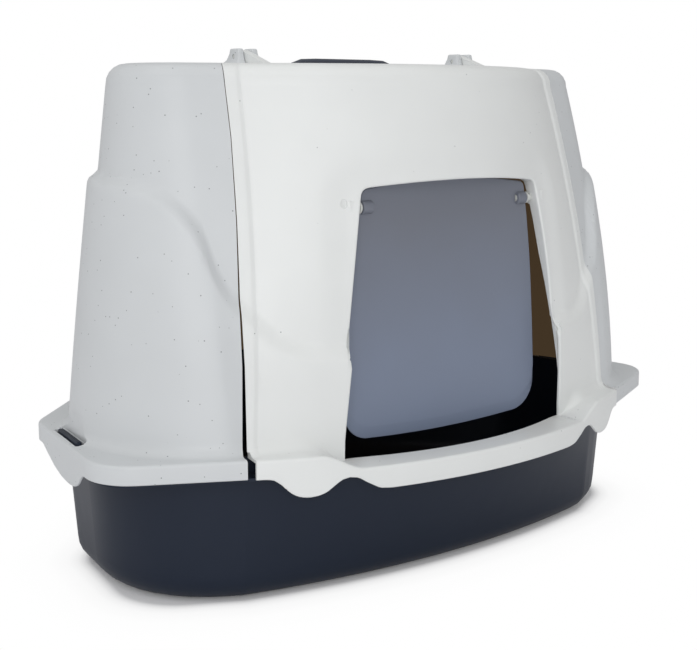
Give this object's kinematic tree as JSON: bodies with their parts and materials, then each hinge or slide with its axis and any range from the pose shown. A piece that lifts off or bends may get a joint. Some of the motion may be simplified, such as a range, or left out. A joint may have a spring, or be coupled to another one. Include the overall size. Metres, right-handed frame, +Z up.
{
  "type": "covered litter box",
  "caption": "Covered corner litter box with a dark tray, lift-off hood, hinged front visor, frosted swing door, fold-down carry handle, rim latches and a filtered vent.",
  "frame": {"origin": "on the floor under the middle of the bounding box", "axes": "+X across the object along its longest side, -Y towards the front with the door, +Z up"},
  "size_m": [0.5884, 0.457, 0.425],
  "materials": {
    "tray_plastic": "semi-gloss moulded polypropylene",
    "hood_plastic": "satin moulded polypropylene with fine dark specks",
    "visor_plastic": "satin moulded polypropylene with a few dark specks",
    "door_plastic": "frosted translucent plastic",
    "pin_plastic": "natural acetal",
    "handle_plastic": "fine-grained moulded plastic",
    "carbon_foam": "open-cell carbon-filled foam"
  },
  "bodies": {
    "tray": {"tray": "tray_plastic"},
    "latch_left": {"tray_latch_left": "tray_plastic"},
    "latch_right": {"tray_latch_right": "tray_plastic"},
    "hood": {"hood_shell": "hood_plastic", "visor_hinge_pin_left": "pin_plastic", "visor_hinge_pin_right": "pin_plastic"},
    "visor": {"visor_shell": "visor_plastic"},
    "door": {"door_flap": "door_plastic", "door_pin_left": "pin_plastic", "door_pin_right": "pin_plastic"},
    "handle": {"carry_handle": "handle_plastic", "handle_pin_left": "pin_plastic", "handle_pin_right": "pin_plastic"},
    "filter": {"filter_frame": "handle_plastic", "carbon_filter": "carbon_foam"}
  },
  "joints": [
    {"name": "hood_lift", "type": "slide", "parent": "tray", "child": "hood", "axis": [0, 0, 1], "range_m": [0, 0.3]},
    {"name": "visor_hinge", "type": "hinge", "parent": "hood", "child": "visor", "pos_m": [0, -0.048, 0.4185], "axis": [-1, 0, 0], "range_deg": [0, 110]},
    {"name": "door_swing", "type": "hinge", "parent": "visor", "child": "door", "pos_m": [0, -0.1645, 0.302], "axis": [1, 0, 0], "range_deg": [-75, 75]},
    {"name": "handle_hinge", "type": "hinge", "parent": "hood", "child": "handle", "pos_m": [0, 0.02, 0.4045], "axis": [-1, 0, 0], "range_deg": [0, 90]},
    {"name": "filter_hinge", "type": "hinge", "parent": "hood", "child": "filter", "pos_m": [0, 0.068, 0.404], "axis": [-1, 0, 0], "range_deg": [0, 80]},
    {"name": "latch_left_hinge", "type": "hinge", "parent": "tray", "child": "latch_left", "pos_m": [-0.27615, -0.034, 0.1099], "axis": [0.1409, 0.99, 0], "range_deg": [0, 8], "stiffness_Nm_per_rad": 0.05},
    {"name": "latch_right_hinge", "type": "hinge", "parent": "tray", "child": "latch_right", "pos_m": [0.27615, -0.034, 0.1099], "axis": [0.1409, -0.99, 0], "range_deg": [0, 8], "stiffness_Nm_per_rad": 0.05}
  ]
}
